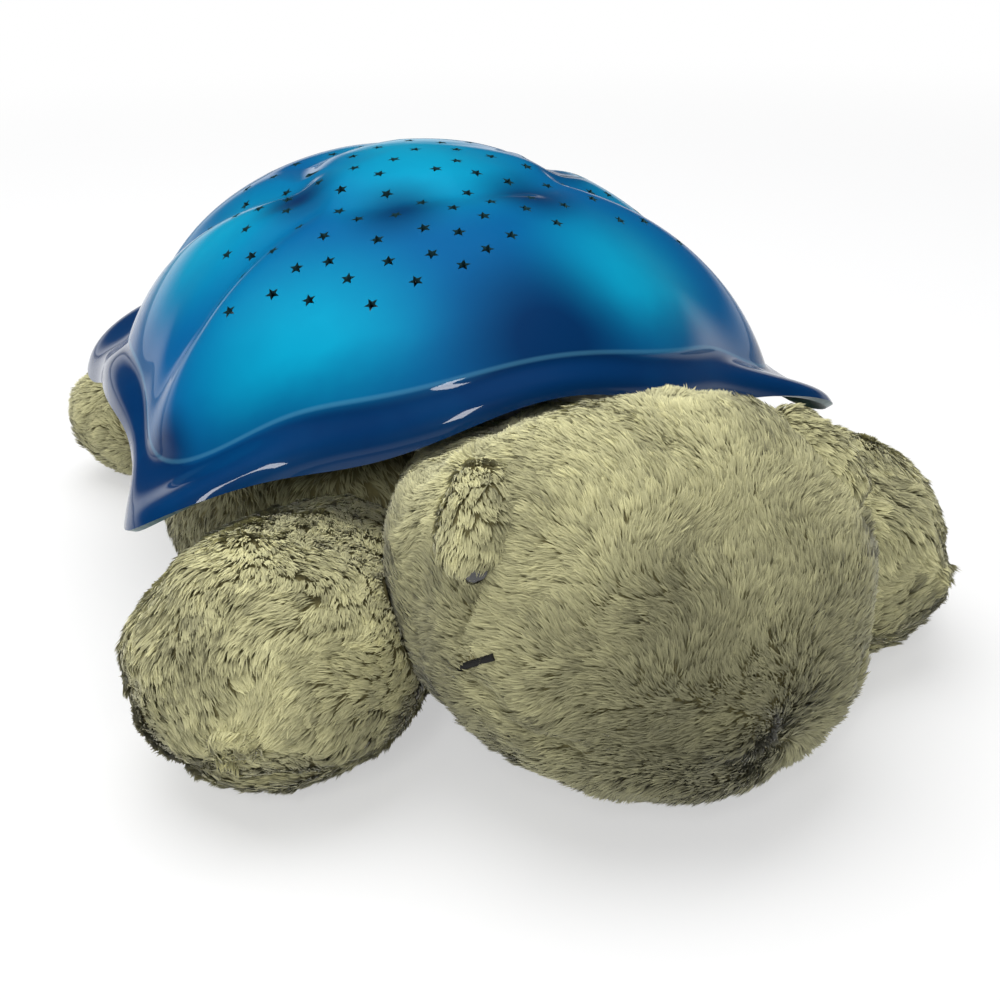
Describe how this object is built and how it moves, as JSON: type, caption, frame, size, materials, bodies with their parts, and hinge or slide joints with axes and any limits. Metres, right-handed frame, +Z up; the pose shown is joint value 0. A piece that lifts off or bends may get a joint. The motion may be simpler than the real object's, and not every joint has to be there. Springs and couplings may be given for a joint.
{
  "type": "star night light projector",
  "caption": "Stuffed turtle night light with a hard glossy shell whose star-shaped holes project light from the lamp inside.",
  "frame": {"origin": "on the floor under the middle of the shell", "axes": "the turtle faces -Y, +Z is up, +X is the turtle's left"},
  "size_m": [0.2532, 0.3417, 0.1419],
  "materials": {
    "shell_paint": "airbrushed blue under clear gloss",
    "white_plastic": "moulded, fine grain",
    "plush": "short clumped pile",
    "eye_black": "polished",
    "thread_black": "stitched thread",
    "dark_plastic": "moulded, fine grain",
    "screw_steel": "zinc plated",
    "cell_wrap": "satin wrap",
    "contact_metal": "nickel plated",
    "board_green": "solder mask",
    "led_blue": "tinted moulding",
    "led_green": "tinted moulding",
    "led_amber": "tinted moulding",
    "clear_plastic": "clear moulding",
    "bright_metal": "metallised",
    "button_grey": "moulded",
    "lining": "woven backing",
    "hook_tape": "hook and loop tape",
    "wire_skin": "soft insulation"
  },
  "bodies": {
    "turtle": {"shell": "shell_paint", "light_collar": "white_plastic", "body": "plush", "head": "plush", "front_flipper_left": "plush", "front_flipper_right": "plush", "rear_flipper_left": "plush", "rear_flipper_right": "plush", "tail": "plush", "eye_left": "eye_black", "eye_right": "eye_black", "eyelid_left": "plush", "eyelid_right": "plush", "mouth_stitch": "thread_black", "lower_housing": "dark_plastic", "battery_door": "dark_plastic", "door_screw": "screw_steel", "aa_cells": "cell_wrap", "contact_springs": "contact_metal", "contact_plates": "contact_metal", "deck": "white_plastic", "housing_screws": "screw_steel", "shell_screws": "screw_steel", "main_board": "board_green", "timer_chip": "dark_plastic", "capacitors": "cell_wrap", "lamp_board": "board_green", "led_blue": "led_blue", "led_green": "led_green", "led_amber": "led_amber", "clear_lens": "clear_plastic", "reflector": "bright_metal", "tact_switches": "dark_plastic", "button_board": "board_green", "button_bracket": "white_plastic", "loop_strip": "hook_tape", "lamp_wires": "wire_skin", "button_wires": "wire_skin"},
    "flap": {"belly_flap": "lining", "hook_strip": "hook_tape"},
    "button_power_cap": {"button_power": "button_grey"},
    "button_blue_cap": {"button_blue": "led_blue"},
    "button_green_cap": {"button_green": "led_green"},
    "button_amber_cap": {"button_amber": "led_amber"}
  },
  "joints": [
    {"name": "belly_flap_hinge", "type": "hinge", "parent": "turtle", "child": "flap", "pos_m": [0, -0.0294, 0.0024], "axis": [-1, 0, 0], "range_deg": [0, 100]},
    {"name": "button_power_press", "type": "slide", "parent": "turtle", "child": "button_power_cap", "axis": [0, -0.594, -0.8045], "range_m": [0, 0.001], "stiffness_N_per_m": 600, "springref_m": -0.0005},
    {"name": "button_blue_press", "type": "slide", "parent": "turtle", "child": "button_blue_cap", "axis": [0, -0.594, -0.8045], "range_m": [0, 0.001], "stiffness_N_per_m": 600, "springref_m": -0.0005},
    {"name": "button_green_press", "type": "slide", "parent": "turtle", "child": "button_green_cap", "axis": [0, -0.594, -0.8045], "range_m": [0, 0.001], "stiffness_N_per_m": 600, "springref_m": -0.0005},
    {"name": "button_amber_press", "type": "slide", "parent": "turtle", "child": "button_amber_cap", "axis": [0, -0.594, -0.8045], "range_m": [0, 0.001], "stiffness_N_per_m": 600, "springref_m": -0.0005}
  ]
}
